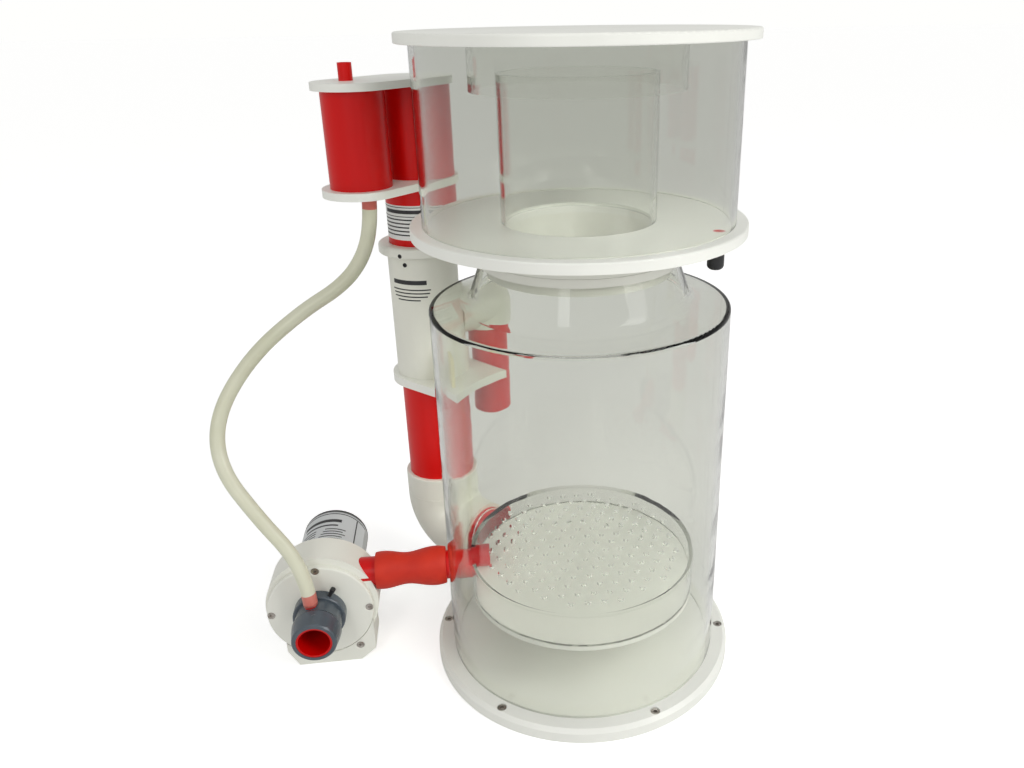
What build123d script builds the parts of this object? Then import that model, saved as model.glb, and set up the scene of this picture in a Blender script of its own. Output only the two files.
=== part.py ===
"""Protein skimmer for a pond or aquarium sump: a clear reaction tube under a lift-off foam cup,
fed by a needle-wheel pump at its side and drained through a telescopic overflow pipe.

Frame: millimetres, +Z up. The origin is on the axis of the reaction tube, on the floor.
+Y runs along the pump's shaft, from its suction mouth to its motor.
+X runs along the feed pipe, from the pump into the tube.
"""

from build123d import *
import os
from math import cos, hypot, pi, radians, sin, tan

os.makedirs("parts", exist_ok=True)

# ------------------------------------------------------------------ driving dimensions

glue_gap = 0.05  # radial play of a glued round joint
slide_gap = 0.5  # radial play between pipes that slide or turn
lift_gap = 0.3  # play between faces that only rest on each other

tube_radius = 150.0
tube_wall = 5.0
tube_top = 409.0

base_radius = 167.5
base_plate_top = 5.0
base_top = 15.0
base_bevel = 4.0
base_screw_count = 6
base_screw_circle = 158.5
base_screw_first = -10.0
base_screw_head = 4.6
base_screw_shank = 2.5

chamber_radius = 125.0
chamber_bottom = 81.0
chamber_floor_top = 87.0
chamber_plate_bottom = 122.0
chamber_top = 127.0
chamber_wall = 4.0
bubble_hole_radius = 3.0
bubble_hole_pitch = 17.0

neck_radius = 98.0
neck_bore = 85.2
neck_skirt_radius = 91.0
neck_bottom = 446.0
neck_flange_bottom = 456.0
neck_flange_top = 464.0

cup_spigot_radius = 84.5
cup_spigot_bottom = 449.0
cup_seal_height = 455.0
cup_flange_radius = 161.5
cup_flange_bottom = 487.0
cup_flange_top = 497.0
cup_top = 657.4
cup_groove = 3.0
foam_tube_radius = 75.0
foam_tube_wall = 4.0
foam_tube_top = 631.0

lid_radius = 162.5
lid_bottom = cup_top + lift_gap
lid_top = 667.1
lid_ring_radius = 100.0
lid_ring_wall = 4.0
lid_ring_bottom = 616.0

drain_angle = -33.0
drain_circle = 137.5
drain_nipple_radius = 5.0
drain_nipple_bore = 3.2
drain_nipple_bottom = 472.0

# overflow column: riser, telescope sleeve and adjuster pipe share one upright axis
column_distance = 220.0
column_angle = 136.2
column_x = column_distance * cos(radians(column_angle))
column_y = column_distance * sin(radians(column_angle))
red_pipe_radius = 35.5
red_pipe_wall = 3.0
riser_bottom = 126.5
riser_top = 328.0
elbow_radius = 40.5
elbow_rim = 153.7
elbow_leg_height = 78.0
elbow_leg_length = 66.0
elbow_bend = 42.0
elbow_socket_depth = 27.0

sleeve_bore = red_pipe_radius + slide_gap
sleeve_radius = 39.0
guide_bottom = 278.0
guide_step = 283.0
guide_top = 288.0
guide_radius = 45.0
sleeve_top = 434.0
collar_radius = 48.0
collar_top = 445.0
seal_section = 1.6

down_pipe_x = -91.7
down_pipe_y = 187.0
down_pipe_radius = 25.0
down_pipe_wall = 2.4
down_pipe_bottom = 220.0
spill_height = 353.5
spill_radius = 29.0
spill_socket_bottom = 328.0
spill_socket_depth = 16.0

adjuster_short_side = 338.0
adjuster_long_cut = 60.0
silencer_x = -211.7
silencer_y = 92.5
silencer_plate_radius = 40.0
silencer_plate_bottom = 509.5
silencer_plate_top = 517.5
silencer_cap_bottom = 613.5
silencer_cap_top = 621.0
silencer_tube_radius = 31.5
silencer_tube_wall = 2.5
air_tube_x = silencer_x - 5.3
air_tube_y = silencer_y + 5.5
air_tube_radius = 7.0
air_tube_top = 638.0
air_tube_bottom = 545.0

# feed pipe and sleeve, along X
feed_y = 12.0
feed_z = 103.0
feed_radius = 16.0
feed_wall = 2.4
feed_stub_start = -257.5
feed_stub_end = -206.0
feed_inner_end = -104.0
feed_outer_end = -188.0
hose_sleeve_start = -231.0
hose_sleeve_end = -153.4
hose_sleeve_radius = 20.1
hose_sleeve_neck = 17.5

# pump, shaft along Y
pump_x = -293.5
pump_z = 70.6
pump_front = -10.0
cover_radius = 57.5
cover_back = -4.0
housing_back = 36.0
housing_radius = 61.0
housing_shift_x = 2.0
housing_shift_z = 4.5
foot_left = -42.0
foot_right = 55.0
foot_height = 60.0
foot_bevel = 14.0
volute_radius = 48.0
volute_back = 26.0
pump_screw_circle = 53.0
motor_radius = 39.0
motor_wall = 3.0
motor_back = 133.0
motor_cap_back = 139.0
can_radius = 19.0
can_wall = 1.5
can_back = 104.0
shaft_radius = 3.0
running_gap = 0.05

venturi_front = -62.0
venturi_step = -22.0
venturi_flange_radius = 28.2
venturi_waist_radius = 25.0
venturi_mouth_radius = 22.8
suction_radius = 18.8
liner_bore = 16.6

# air hose, between the silencer and the venturi
hose_radius = 7.7
hose_bore = 5.7
barb_radius = 5.3
barb_length = 15.0
hose_route = [
    (-205.5, 90.0, 509.3),
    (-205.5, 90.0, 485.0),
    (-215.0, 86.0, 448.0),
    (-239.0, 79.0, 418.0),
    (-286.0, 69.0, 393.0),
    (-339.0, 52.0, 353.0),
    (-377.0, 30.0, 299.0),
    (-377.0, 8.0, 249.0),
    (-341.0, -11.0, 196.0),
    (-310.0, -24.0, 158.0),
    (-299.0, -29.0, 120.0),
    (-298.0, -30.0, 97.0),
]


# ------------------------------------------------------------------ helpers


def tube_section(outer, wall):
    """A ring, for use inside a sketch."""
    Circle(outer)
    Circle(outer - wall, mode=Mode.SUBTRACT)


def column_plane(height):
    """Level plane on the overflow column's axis, with its local x pointing at the tube's axis."""
    return Plane((column_x, column_y, height), x_dir=(-column_x, -column_y, 0), z_dir=(0, 0, 1))


def pump_plane(y):
    """Upright plane across the pump's shaft: local x is +X, local y is +Z, its normal is -Y."""
    return Plane((pump_x, y, pump_z), x_dir=(1, 0, 0), z_dir=(0, -1, 0))


def feed_plane(x):
    """Upright plane across the feed pipe, its normal is +X."""
    return Plane((x, feed_y, feed_z), x_dir=(0, 1, 0), z_dir=(1, 0, 0))


def level(height, x=0.0, y=0.0):
    """Level plane at a height, centred on a point."""
    return Plane((x, y, height))


# ------------------------------------------------------------------ base and reaction tube

with BuildPart() as base_plate:
    with BuildSketch():
        Circle(base_radius)
    extrude(amount=base_plate_top)
    with BuildSketch(Plane.XY.offset(base_plate_top)):
        with Locations(Rotation(0, 0, base_screw_first)):
            with PolarLocations(base_screw_circle, base_screw_count):
                Circle(base_screw_shank + glue_gap)
    extrude(amount=-base_plate_top + 1.0, mode=Mode.SUBTRACT)
base_plate.part.label = "base_plate"

with BuildPart() as base_flange:
    with BuildSketch(Plane.XY.offset(base_plate_top)):
        Circle(base_radius)
    extrude(amount=base_top - base_plate_top)
    chamfer(base_flange.edges().group_by(Axis.Z)[-1], base_bevel)
    with BuildSketch(Plane.XY.offset(base_top)):
        Circle(tube_radius + glue_gap)
        Circle(tube_radius - tube_wall - glue_gap, mode=Mode.SUBTRACT)
    extrude(amount=-3.0, mode=Mode.SUBTRACT)
    with Locations(Location((0, 0, base_top), (0, 0, base_screw_first))):
        with PolarLocations(base_screw_circle, base_screw_count):
            CounterBoreHole(base_screw_shank + 0.2, base_screw_head + 0.5, 5.5, depth=base_top)
base_flange.part.label = "base_flange"

with BuildPart() as base_screws:
    with Locations(Location((0, 0, base_top - 5.4), (0, 0, base_screw_first))):
        with PolarLocations(base_screw_circle, base_screw_count):
            Cylinder(base_screw_head, 4.5, align=(Align.CENTER, Align.CENTER, Align.MIN))
            Cylinder(base_screw_shank, base_top - 5.4 - 1.5, align=(Align.CENTER, Align.CENTER, Align.MAX))
    with BuildSketch(Plane.XY.offset(base_top - 0.9)):
        with Locations(Rotation(0, 0, base_screw_first)):
            with PolarLocations(base_screw_circle, base_screw_count):
                RegularPolygon(2.3, 6)
    extrude(amount=-2.5, mode=Mode.SUBTRACT)
base_screws.part.label = "base_screws"

spigot_direction = Vector(-column_x, -column_y, 0).normalized()
spigot_plane = Plane((column_x, column_y, elbow_leg_height), x_dir=(0, 0, 1), z_dir=spigot_direction)

with BuildPart() as body_tube:
    with BuildSketch(Plane.XY.offset(base_top - 2.9)):
        tube_section(tube_radius, tube_wall)
    extrude(amount=tube_top - base_top + 2.9)
    with BuildSketch(feed_plane(feed_inner_end)):
        Circle(feed_radius + glue_gap)
    extrude(amount=-100.0, mode=Mode.SUBTRACT)
    with BuildSketch(spigot_plane):
        Circle(red_pipe_radius + glue_gap)
    extrude(amount=column_distance - tube_radius + 40.0, mode=Mode.SUBTRACT)
body_tube.part.label = "body_tube"

# Shoulder of the tube: round at the rim, nearly flat, then turned up into a tapered neck.
dome_corners = [
    (150.0, tube_top),
    (150.0, 413.0),
    (111.0, 419.0),
    (98.0, neck_flange_bottom),
    (93.5, neck_flange_bottom),
    (106.3, 415.0),
    (145.0, tube_top),
]
dome_roundings = {1: 3.5, 2: 14.0, 5: 18.0}
with BuildPart() as body_dome:
    with BuildSketch(Plane.XZ) as dome_section:
        with BuildLine():
            Polyline(*dome_corners, close=True)
        make_face()
        for corner, rounding in dome_roundings.items():
            fillet(dome_section.vertices().sort_by_distance((*dome_corners[corner], 0))[0], rounding)
    revolve(axis=Axis.Z)
body_dome.part.label = "body_dome"

with BuildPart() as neck_ring:
    with BuildSketch(Plane.XZ):
        with BuildLine():
            Polyline(
                (neck_bore, neck_bottom),
                (neck_skirt_radius, neck_bottom),
                (neck_skirt_radius, neck_flange_bottom),
                (neck_radius, neck_flange_bottom),
                (neck_radius, neck_flange_top),
                (neck_bore + 1.5, neck_flange_top),
                (neck_bore, neck_flange_top - 1.5),
                close=True,
            )
        make_face()
    revolve(axis=Axis.Z)
neck_ring.part.label = "neck_ring"

# ------------------------------------------------------------------ bubble chamber

with BuildPart() as chamber_floor:
    with BuildSketch(Plane.XY.offset(chamber_bottom)):
        Circle(chamber_radius)
    extrude(amount=chamber_floor_top - chamber_bottom)
    fillet(chamber_floor.edges().group_by(Axis.Z)[0], 1.0)
chamber_floor.part.label = "chamber_floor"

with BuildPart() as chamber_ring:
    with BuildSketch(Plane.XY.offset(chamber_floor_top)):
        tube_section(chamber_radius, chamber_wall)
    extrude(amount=chamber_plate_bottom - chamber_floor_top)
    with BuildSketch(feed_plane(feed_inner_end)):
        Circle(feed_radius + glue_gap)
    extrude(amount=-60.0, mode=Mode.SUBTRACT)
chamber_ring.part.label = "chamber_ring"

# Rows of holes staggered by half a pitch, kept inside the plate's glued rim.
bubble_hole_limit = chamber_radius - chamber_wall - 12.0
row_pitch = bubble_hole_pitch * sin(pi / 3)
bubble_holes = []
for row in range(-7, 8):
    for column in range(-8, 9):
        hole_x = (column + 0.5 * (row % 2)) * bubble_hole_pitch
        hole_y = row * row_pitch
        if hypot(hole_x, hole_y) < bubble_hole_limit:
            bubble_holes.append((hole_x, hole_y))

with BuildPart() as bubble_plate:
    with BuildSketch(Plane.XY.offset(chamber_plate_bottom)):
        Circle(chamber_radius)
        with Locations(*bubble_holes):
            Circle(bubble_hole_radius, mode=Mode.SUBTRACT)
    extrude(amount=chamber_top - chamber_plate_bottom)
bubble_plate.part.label = "bubble_plate"

with BuildPart() as feed_pipe:
    with BuildSketch(feed_plane(feed_inner_end)):
        tube_section(feed_radius, feed_wall)
    extrude(amount=feed_outer_end - feed_inner_end)
feed_pipe.part.label = "feed_pipe"

sleeve_middle = (feed_stub_end + feed_outer_end) / 2
sleeve_fit = feed_radius + glue_gap
with BuildPart() as hose_sleeve:
    with BuildSketch(Plane((0, feed_y, feed_z), x_dir=(1, 0, 0), z_dir=(0, -1, 0))):
        with BuildLine():
            Spline(
                (hose_sleeve_start, hose_sleeve_radius),
                (sleeve_middle - 17.0, hose_sleeve_radius),
                (sleeve_middle, hose_sleeve_neck),
                (sleeve_middle + 17.0, hose_sleeve_radius),
                (hose_sleeve_end, hose_sleeve_radius),
            )
            Polyline(
                (hose_sleeve_end, hose_sleeve_radius),
                (hose_sleeve_end, sleeve_fit),
                (feed_outer_end - 0.3, sleeve_fit),
                (feed_outer_end - 4.0, hose_sleeve_neck - 3.2),
                (feed_stub_end + 4.0, hose_sleeve_neck - 3.2),
                (feed_stub_end + 0.3, sleeve_fit),
                (hose_sleeve_start, sleeve_fit),
                (hose_sleeve_start, hose_sleeve_radius),
            )
        make_face()
    revolve(axis=Axis((0, feed_y, feed_z), (1, 0, 0)))
hose_sleeve.part.label = "hose_sleeve"

# ------------------------------------------------------------------ overflow: elbow and riser

elbow_end = Vector(column_x, column_y, elbow_leg_height) + spigot_direction * elbow_leg_length
with BuildPart() as outlet_elbow:
    with BuildLine() as elbow_path:
        FilletPolyline(
            (column_x, column_y, elbow_rim),
            (column_x, column_y, elbow_leg_height),
            elbow_end,
            radius=elbow_bend,
        )
    with BuildSketch(Plane((column_x, column_y, elbow_rim), z_dir=(0, 0, -1))):
        Circle(elbow_radius)
    sweep(path=elbow_path.line)
    with BuildSketch(Plane((column_x, column_y, elbow_rim), z_dir=(0, 0, -1))):
        Circle(red_pipe_radius - red_pipe_wall)
    sweep(path=elbow_path.line, mode=Mode.SUBTRACT)
    with BuildSketch(column_plane(elbow_rim)):
        Circle(red_pipe_radius + glue_gap)
    extrude(amount=-elbow_socket_depth - 0.3, mode=Mode.SUBTRACT)
    with BuildSketch(Plane(elbow_end, x_dir=(0, 0, 1), z_dir=-spigot_direction)):
        Circle(red_pipe_radius + glue_gap)
    extrude(amount=22.0, mode=Mode.SUBTRACT)
    fillet(outlet_elbow.edges().group_by(Axis.Z)[-1].sort_by(SortBy.RADIUS)[-1], 1.5)
    with BuildSketch(column_plane(riser_bottom - 0.8)):
        Circle(elbow_radius + 1.0)
        Circle(elbow_radius - 0.4, mode=Mode.SUBTRACT)
    extrude(amount=0.8, mode=Mode.SUBTRACT)
outlet_elbow.part.label = "outlet_elbow"

with BuildPart() as outlet_spigot:
    with BuildSketch(spigot_plane.offset(elbow_leg_length - 21.5)):
        tube_section(red_pipe_radius, red_pipe_wall)
    extrude(amount=column_distance - tube_radius + 12.0 - (elbow_leg_length - 21.5))
outlet_spigot.part.label = "outlet_spigot"

with BuildPart() as riser_pipe:
    with BuildSketch(column_plane(riser_bottom + 0.5)):
        tube_section(red_pipe_radius, red_pipe_wall)
    extrude(amount=riser_top - riser_bottom - 0.5)
riser_pipe.part.label = "riser_pipe"

# ------------------------------------------------------------------ overflow: telescope sleeve

down_pipe_base = Vector(down_pipe_x, down_pipe_y, spill_height)
spill_vector = down_pipe_base - Vector(column_x, column_y, spill_height)
spill_length = spill_vector.length
spill_plane = Plane((column_x, column_y, spill_height), x_dir=(0, 0, 1), z_dir=spill_vector.normalized())
spill_bore = down_pipe_radius - down_pipe_wall

lock_angle = radians(-118.0)
lock_direction = Vector(cos(lock_angle), sin(lock_angle), 0)
lock_radius = 2.4
collar_screw_height = 437.2
sleeve_screw_height = 425.0


def lock_plane(height):
    """Plane across a grub screw, on the column's axis and facing out along the screw."""
    return Plane((column_x, column_y, height), x_dir=(0, 0, 1), z_dir=lock_direction)


with BuildPart() as telescope_sleeve:
    with BuildSketch(column_plane(guide_step)):
        tube_section(sleeve_radius, sleeve_radius - sleeve_bore)
    extrude(amount=sleeve_top - guide_step)
    with BuildSketch(spill_plane):
        Circle(spill_bore)
    extrude(amount=spill_length, mode=Mode.SUBTRACT)
    with BuildSketch(lock_plane(sleeve_screw_height)):
        Circle(lock_radius + glue_gap)
    extrude(amount=sleeve_radius + 5.0, mode=Mode.SUBTRACT)
telescope_sleeve.part.label = "telescope_sleeve"

collar_seal_height = 441.8
with BuildPart() as telescope_collar:
    with BuildSketch(column_plane(sleeve_top)):
        Circle(collar_radius)
        Circle(sleeve_bore, mode=Mode.SUBTRACT)
    extrude(amount=collar_top - sleeve_top)
    fillet(telescope_collar.edges().group_by(Axis.Z)[-1].sort_by(SortBy.RADIUS)[-1], 3.0)
    fillet(telescope_collar.edges().group_by(Axis.Z)[0].sort_by(SortBy.RADIUS)[-1], 2.0)
    with BuildSketch(column_plane(collar_seal_height - 1.8)):
        Circle(sleeve_bore + 3.3)
    extrude(amount=3.6, mode=Mode.SUBTRACT)
    with BuildSketch(lock_plane(collar_screw_height)):
        Circle(lock_radius + glue_gap)
    extrude(amount=collar_radius + 5.0, mode=Mode.SUBTRACT)
telescope_collar.part.label = "telescope_collar"

# The guide plate has straight sides from its round end to a hollow that rides round the reaction tube.
guide_seal_height = guide_bottom + 2.5
guide_reach = column_distance - tube_radius + 20.0
with BuildPart() as guide_plate:
    with BuildSketch(column_plane(guide_bottom)) as guide_outline:
        Circle(guide_radius)
        with Locations((guide_reach / 2, 0)):
            Rectangle(guide_reach, 2 * guide_radius)
        with Locations((column_distance, 0)):
            Circle(tube_radius + 0.6, mode=Mode.SUBTRACT)
    extrude(amount=guide_top - guide_bottom)
    with BuildSketch(column_plane(guide_step - glue_gap)):
        Circle(sleeve_radius + glue_gap)
    extrude(amount=guide_top - guide_step + 1.0, mode=Mode.SUBTRACT)
    with BuildSketch(column_plane(guide_bottom)):
        Circle(sleeve_bore)
    extrude(amount=guide_step - guide_bottom, mode=Mode.SUBTRACT)
    with BuildSketch(column_plane(guide_seal_height - 1.7)):
        Circle(sleeve_bore + 3.3)
    extrude(amount=3.4, mode=Mode.SUBTRACT)
guide_plate.part.label = "guide_plate"

rib_angle = -74.0
with BuildPart() as guide_rib:
    with Locations(Location((column_x, column_y, guide_top), (0, 0, rib_angle))):
        with Locations((sleeve_radius + glue_gap, 0, 0)):
            Box(27.0, 5.0, 34.0, align=(Align.MIN, Align.CENTER, Align.MIN))
guide_rib.part.label = "guide_rib"

with BuildPart() as telescope_seals:
    with BuildSketch(Plane((column_x, column_y, 0), x_dir=(1, 0, 0), z_dir=(0, -1, 0))):
        with Locations((sleeve_bore + 1.5, collar_seal_height), (sleeve_bore + 1.5, guide_seal_height)):
            Circle(seal_section)
    revolve(axis=Axis((column_x, column_y, 0), (0, 0, 1)))
telescope_seals.part.label = "telescope_seals"

with BuildPart() as lock_screws:
    with BuildSketch(lock_plane(collar_screw_height).offset(sleeve_bore + 0.4)):
        Circle(lock_radius)
    extrude(amount=collar_radius - sleeve_bore - 0.6)
    with BuildSketch(lock_plane(sleeve_screw_height).offset(sleeve_bore + 0.4)):
        Circle(lock_radius)
    extrude(amount=sleeve_radius - sleeve_bore + 0.2)
    for height, front in ((collar_screw_height, collar_radius - 0.2), (sleeve_screw_height, sleeve_radius + 0.6)):
        with BuildSketch(lock_plane(height).offset(front)):
            RegularPolygon(1.3, 6)
        extrude(amount=-1.6, mode=Mode.SUBTRACT)
lock_screws.part.label = "lock_screws"

with BuildPart() as spill_elbow:
    with BuildSketch(spill_plane.offset(sleeve_radius - 8.0)):
        Circle(spill_radius)
    extrude(amount=spill_length - sleeve_radius + 8.0)
    with Locations(down_pipe_base):
        Sphere(spill_radius)
        Cylinder(
            spill_radius,
            spill_height - spill_socket_bottom,
            align=(Align.CENTER, Align.CENTER, Align.MAX),
        )
    with BuildSketch(spill_plane.offset(sleeve_radius - 9.0)):
        Circle(spill_bore)
    extrude(amount=spill_length - sleeve_radius + 9.0, mode=Mode.SUBTRACT)
    with Locations(down_pipe_base):
        Sphere(spill_bore, mode=Mode.SUBTRACT)
        Cylinder(spill_bore, 40.0, align=(Align.CENTER, Align.CENTER, Align.MAX), mode=Mode.SUBTRACT)
    with Locations((down_pipe_x, down_pipe_y, spill_socket_bottom + spill_socket_depth)):
        Cylinder(
            down_pipe_radius + glue_gap,
            40.0,
            align=(Align.CENTER, Align.CENTER, Align.MAX),
            mode=Mode.SUBTRACT,
        )
    with BuildSketch(column_plane(spill_height - 40.0)):
        Circle(sleeve_radius + glue_gap)
    extrude(amount=80.0, mode=Mode.SUBTRACT)
spill_elbow.part.label = "spill_elbow"

with BuildPart() as down_pipe:
    with BuildSketch(level(down_pipe_bottom, down_pipe_x, down_pipe_y)):
        tube_section(down_pipe_radius, down_pipe_wall)
    extrude(amount=spill_socket_bottom + spill_socket_depth - 0.5 - down_pipe_bottom)
down_pipe.part.label = "down_pipe"

# ------------------------------------------------------------------ overflow: adjuster pipe and silencer

with BuildPart() as adjuster_pipe:
    with BuildSketch(column_plane(adjuster_short_side)):
        tube_section(red_pipe_radius, red_pipe_wall)
    extrude(amount=silencer_cap_bottom - adjuster_short_side)
    wedge_normal = Vector(adjuster_long_cut, 0, 2 * red_pipe_radius).normalized()
    wedge_origin = Vector(column_x, column_y, adjuster_short_side + adjuster_long_cut / 2)
    split(bisect_by=Plane(wedge_origin, z_dir=wedge_normal), keep=Keep.TOP)
adjuster_pipe.part.label = "adjuster_pipe"

nipple_x, nipple_y, hose_start_height = hose_route[0]


def silencer_outline(radius):
    """A stadium round the two pipes, for use inside a sketch on the level through them."""
    with Locations((column_x, column_y), (silencer_x, silencer_y)):
        Circle(radius)
    make_hull()


with BuildPart() as silencer_plate:
    with BuildSketch(Plane.XY.offset(silencer_plate_bottom)):
        silencer_outline(silencer_plate_radius)
        with Locations((column_x, column_y)):
            Circle(red_pipe_radius + glue_gap, mode=Mode.SUBTRACT)
        with Locations((nipple_x, nipple_y)):
            Circle(barb_radius + glue_gap, mode=Mode.SUBTRACT)
    extrude(amount=silencer_plate_top - silencer_plate_bottom)
silencer_plate.part.label = "silencer_plate"

with BuildPart() as silencer_cap:
    with BuildSketch(Plane.XY.offset(silencer_cap_bottom)):
        silencer_outline(silencer_plate_radius)
        with Locations((air_tube_x, air_tube_y)):
            Circle(air_tube_radius + glue_gap, mode=Mode.SUBTRACT)
    extrude(amount=silencer_cap_top - silencer_cap_bottom)
silencer_cap.part.label = "silencer_cap"

with BuildPart() as silencer_tube:
    with BuildSketch(level(silencer_plate_top, silencer_x, silencer_y)):
        tube_section(silencer_tube_radius, silencer_tube_wall)
    extrude(amount=silencer_cap_bottom - silencer_plate_top)
silencer_tube.part.label = "silencer_tube"

with BuildPart() as air_tube:
    with BuildSketch(level(air_tube_bottom, air_tube_x, air_tube_y)):
        tube_section(air_tube_radius, 1.8)
    extrude(amount=air_tube_top - air_tube_bottom)
air_tube.part.label = "air_tube"

with BuildPart() as hose_nipple:
    with BuildSketch(level(silencer_plate_top, nipple_x, nipple_y)):
        Circle(barb_radius)
        Circle(barb_radius - 1.9, mode=Mode.SUBTRACT)
    extrude(amount=hose_start_height - barb_length - silencer_plate_top)
hose_nipple.part.label = "hose_nipple"

# ------------------------------------------------------------------ foam cup

with BuildPart() as cup_spigot:
    with BuildSketch(Plane.XZ):
        with BuildLine():
            Polyline(
                (foam_tube_radius - foam_tube_wall, cup_flange_bottom),
                (foam_tube_radius - foam_tube_wall, cup_spigot_bottom + 4.0),
                (foam_tube_radius - foam_tube_wall + 4.0, cup_spigot_bottom),
                (cup_spigot_radius - 1.0, cup_spigot_bottom),
                (cup_spigot_radius, cup_spigot_bottom + 1.0),
                (cup_spigot_radius, neck_flange_top + lift_gap),
                (neck_radius, neck_flange_top + lift_gap),
                (neck_radius, cup_flange_bottom),
                close=True,
            )
        make_face()
        with Locations((cup_spigot_radius, cup_seal_height)):
            Rectangle(6.2, 3.6, mode=Mode.SUBTRACT)
    revolve(axis=Axis.Z)
cup_spigot.part.label = "cup_spigot"

with BuildPart() as cup_seal:
    with BuildSketch(Plane.XZ):
        with Locations((neck_bore - lift_gap - seal_section, cup_seal_height)):
            Circle(seal_section)
    revolve(axis=Axis.Z)
cup_seal.part.label = "cup_seal"

drain_x = drain_circle * cos(radians(drain_angle))
drain_y = drain_circle * sin(radians(drain_angle))

with BuildPart() as cup_flange:
    with BuildSketch(Plane.XY.offset(cup_flange_bottom)):
        tube_section(cup_flange_radius, cup_flange_radius - foam_tube_radius + foam_tube_wall)
    extrude(amount=cup_flange_top - cup_flange_bottom)
    fillet(cup_flange.edges().group_by(Axis.Z)[-1].sort_by(SortBy.RADIUS)[-1], 1.5)
    with BuildSketch(Plane.XY.offset(cup_flange_top)):
        Circle(tube_radius + glue_gap)
        Circle(tube_radius - tube_wall - glue_gap, mode=Mode.SUBTRACT)
        Circle(foam_tube_radius + glue_gap)
    extrude(amount=-cup_groove, mode=Mode.SUBTRACT)
    with Locations((drain_x, drain_y, cup_flange_bottom)):
        Cylinder(
            drain_nipple_radius + glue_gap,
            20.0,
            align=(Align.CENTER, Align.CENTER, Align.MIN),
            mode=Mode.SUBTRACT,
        )
cup_flange.part.label = "cup_flange"

with BuildPart() as cup_tube:
    with BuildSketch(Plane.XY.offset(cup_flange_top - cup_groove + glue_gap)):
        tube_section(tube_radius, tube_wall)
    extrude(amount=cup_top - cup_flange_top + cup_groove - glue_gap)
cup_tube.part.label = "cup_tube"

with BuildPart() as foam_tube:
    with BuildSketch(Plane.XY.offset(cup_flange_top - cup_groove + glue_gap)):
        tube_section(foam_tube_radius, foam_tube_wall)
    extrude(amount=foam_tube_top - cup_flange_top + cup_groove - glue_gap)
foam_tube.part.label = "foam_tube"

with BuildPart() as drain_nipple:
    with BuildSketch(level(drain_nipple_bottom, drain_x, drain_y)):
        Circle(drain_nipple_radius)
        Circle(drain_nipple_bore, mode=Mode.SUBTRACT)
    extrude(amount=cup_flange_top - drain_nipple_bottom)
drain_nipple.part.label = "drain_nipple"

stopper_radius = 7.8
stopper_bottom = 461.0
with BuildPart() as drain_stopper:
    with BuildSketch(level(stopper_bottom, drain_x, drain_y)):
        Circle(stopper_radius)
    extrude(amount=cup_flange_bottom - 1.0 - stopper_bottom)
    fillet(drain_stopper.edges().group_by(Axis.Z)[0], 4.5)
    with BuildSketch(level(drain_nipple_bottom - 0.4, drain_x, drain_y)):
        Circle(drain_nipple_radius + lift_gap)
    extrude(amount=30.0, mode=Mode.SUBTRACT)
drain_stopper.part.label = "drain_stopper"

# ------------------------------------------------------------------ lid

with BuildPart() as lid_plate:
    with BuildSketch(Plane.XY.offset(lid_bottom)):
        Circle(lid_radius)
    extrude(amount=lid_top - lid_bottom)
    fillet(lid_plate.edges().group_by(Axis.Z)[-1], 2.0)
    fillet(lid_plate.edges().group_by(Axis.Z)[0], 1.0)
lid_plate.part.label = "lid_plate"

with BuildPart() as lid_ring:
    with BuildSketch(Plane.XY.offset(lid_ring_bottom)):
        tube_section(lid_ring_radius, lid_ring_wall)
    extrude(amount=lid_bottom - lid_ring_bottom)
lid_ring.part.label = "lid_ring"

# ------------------------------------------------------------------ pump: wet end


def pump_foot():
    """Outline of the foot under the volute, for use inside a sketch across the shaft."""
    Polygon(
        (foot_left, foot_height - pump_z),
        (foot_left, foot_bevel + 6.0 - pump_z),
        (foot_left + foot_bevel - 3.0, -pump_z),
        (foot_right - foot_bevel - 3.0, -pump_z),
        (foot_right, foot_bevel - pump_z),
        (foot_right, foot_height - pump_z),
        align=None,
    )


screw_places = [
    (0.0, pump_screw_circle),
    (-pump_screw_circle, 0.0),
    (pump_screw_circle, 0.0),
    (5.0, -pump_screw_circle),
    (38.0, -51.0),
]
foot_screw_place = screw_places[-1]
pump_screw_shank = 2.0
pump_screw_head = 4.3
pump_screw_length = 22.0

with BuildPart() as pump_cover:
    with BuildSketch(pump_plane(cover_back)):
        Circle(cover_radius)
        Circle(suction_radius + 0.4, mode=Mode.SUBTRACT)
    extrude(amount=cover_back - pump_front)
    fillet(pump_cover.edges().group_by(Axis.Y)[0].sort_by(SortBy.RADIUS)[-1], 2.0)
    with Locations(pump_plane(pump_front)):
        with Locations(*screw_places):
            CounterSinkHole(pump_screw_shank + 0.2, pump_screw_head + 0.8, depth=8.0, counter_sink_angle=90)
    with BuildSketch(pump_plane(cover_back)):
        Circle(volute_radius + 2.5)
        Circle(volute_radius, mode=Mode.SUBTRACT)
    extrude(amount=2.2, mode=Mode.SUBTRACT)
    with BuildSketch(pump_plane(cover_back)):
        with Locations(*[Rotation(0, 0, 30.0 + 120.0 * k) for k in range(3)]):
            with Locations(((suction_radius + 1.5) / 2, 0)):
                Rectangle(suction_radius + 1.5, 3.0)
    extrude(amount=3.0)
    with BuildSketch(pump_plane(cover_back)):
        Circle(5.0)
    extrude(amount=5.5)
    with BuildSketch(pump_plane(cover_back)):
        Circle(shaft_radius + 0.02)
    extrude(amount=4.5, mode=Mode.SUBTRACT)
pump_cover.part.label = "pump_cover"

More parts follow.
